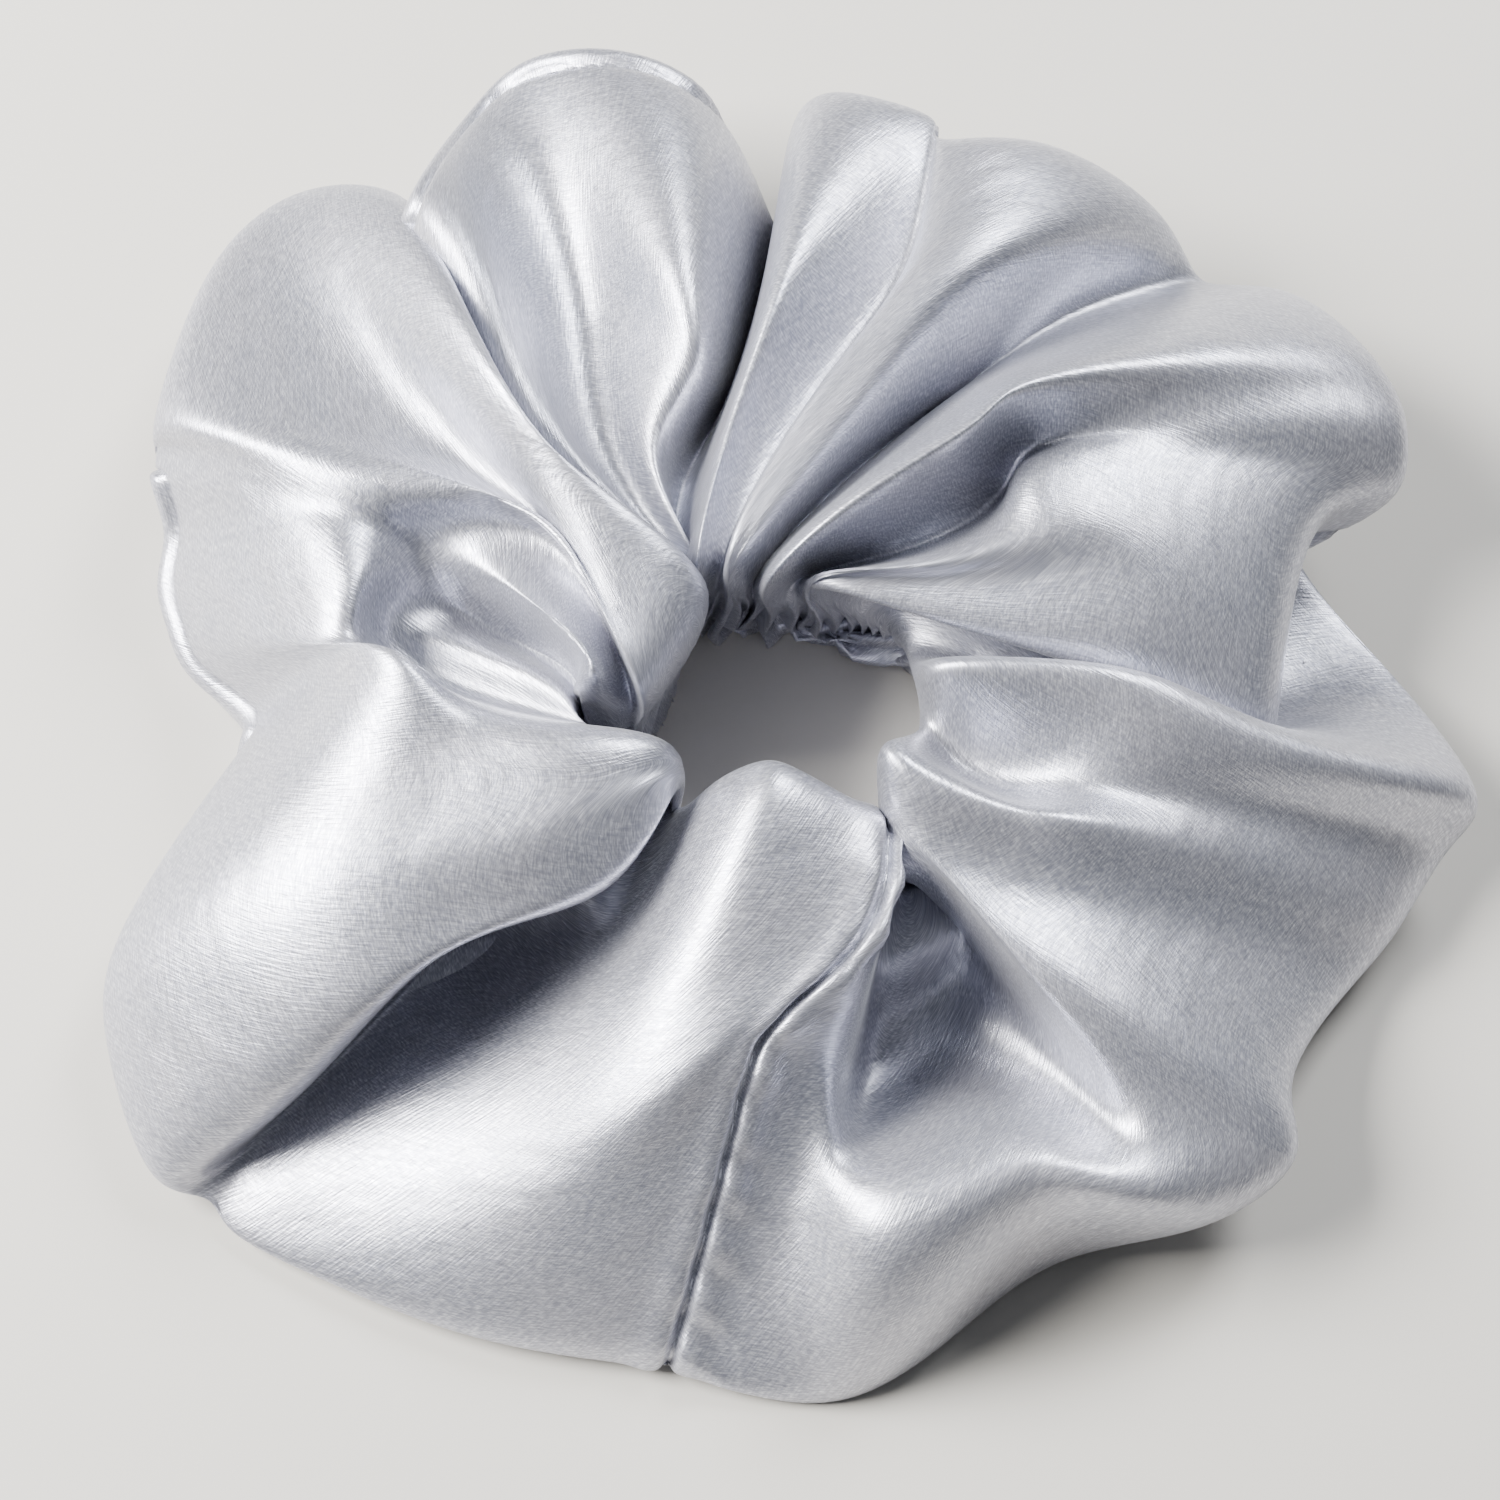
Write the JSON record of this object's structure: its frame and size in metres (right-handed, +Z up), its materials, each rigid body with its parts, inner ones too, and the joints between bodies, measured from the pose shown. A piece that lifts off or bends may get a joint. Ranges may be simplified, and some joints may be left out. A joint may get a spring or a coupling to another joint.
{
  "type": "scrunchie",
  "caption": "Oversized scrunchie: a gathered satin tube sewn into a lobed ring around a loop of braided elastic that is free to slide round inside it. Holds a ponytail.",
  "frame": {"origin": "centre of the hair opening, on the surface that the scrunchie lies on", "axes": "+Z up along the opening's axis; -Y towards the tube's closing seam; +X to the right"},
  "size_m": [0.151, 0.152, 0.034],
  "materials": {
    "satin": "glossy satin, slightly sheer",
    "elastic_braid": "matte braid",
    "rubber": "matte latex",
    "thread": "matte thread"
  },
  "bodies": {
    "cover": {"satin_cover": "satin", "long_seam_stitches": "thread", "closing_seam_stitches": "thread"},
    "elastic": {"elastic_braid": "elastic_braid", "elastic_join_stitches": "thread", "rubber_core_1": "rubber", "rubber_core_2": "rubber", "rubber_core_3": "rubber", "rubber_core_4": "rubber", "rubber_core_5": "rubber"}
  },
  "joints": [
    {"name": "elastic_turn", "type": "hinge", "parent": "cover", "child": "elastic", "pos_m": [0, 0, 0.011], "axis": [0, 0, 1], "continuous": true}
  ]
}
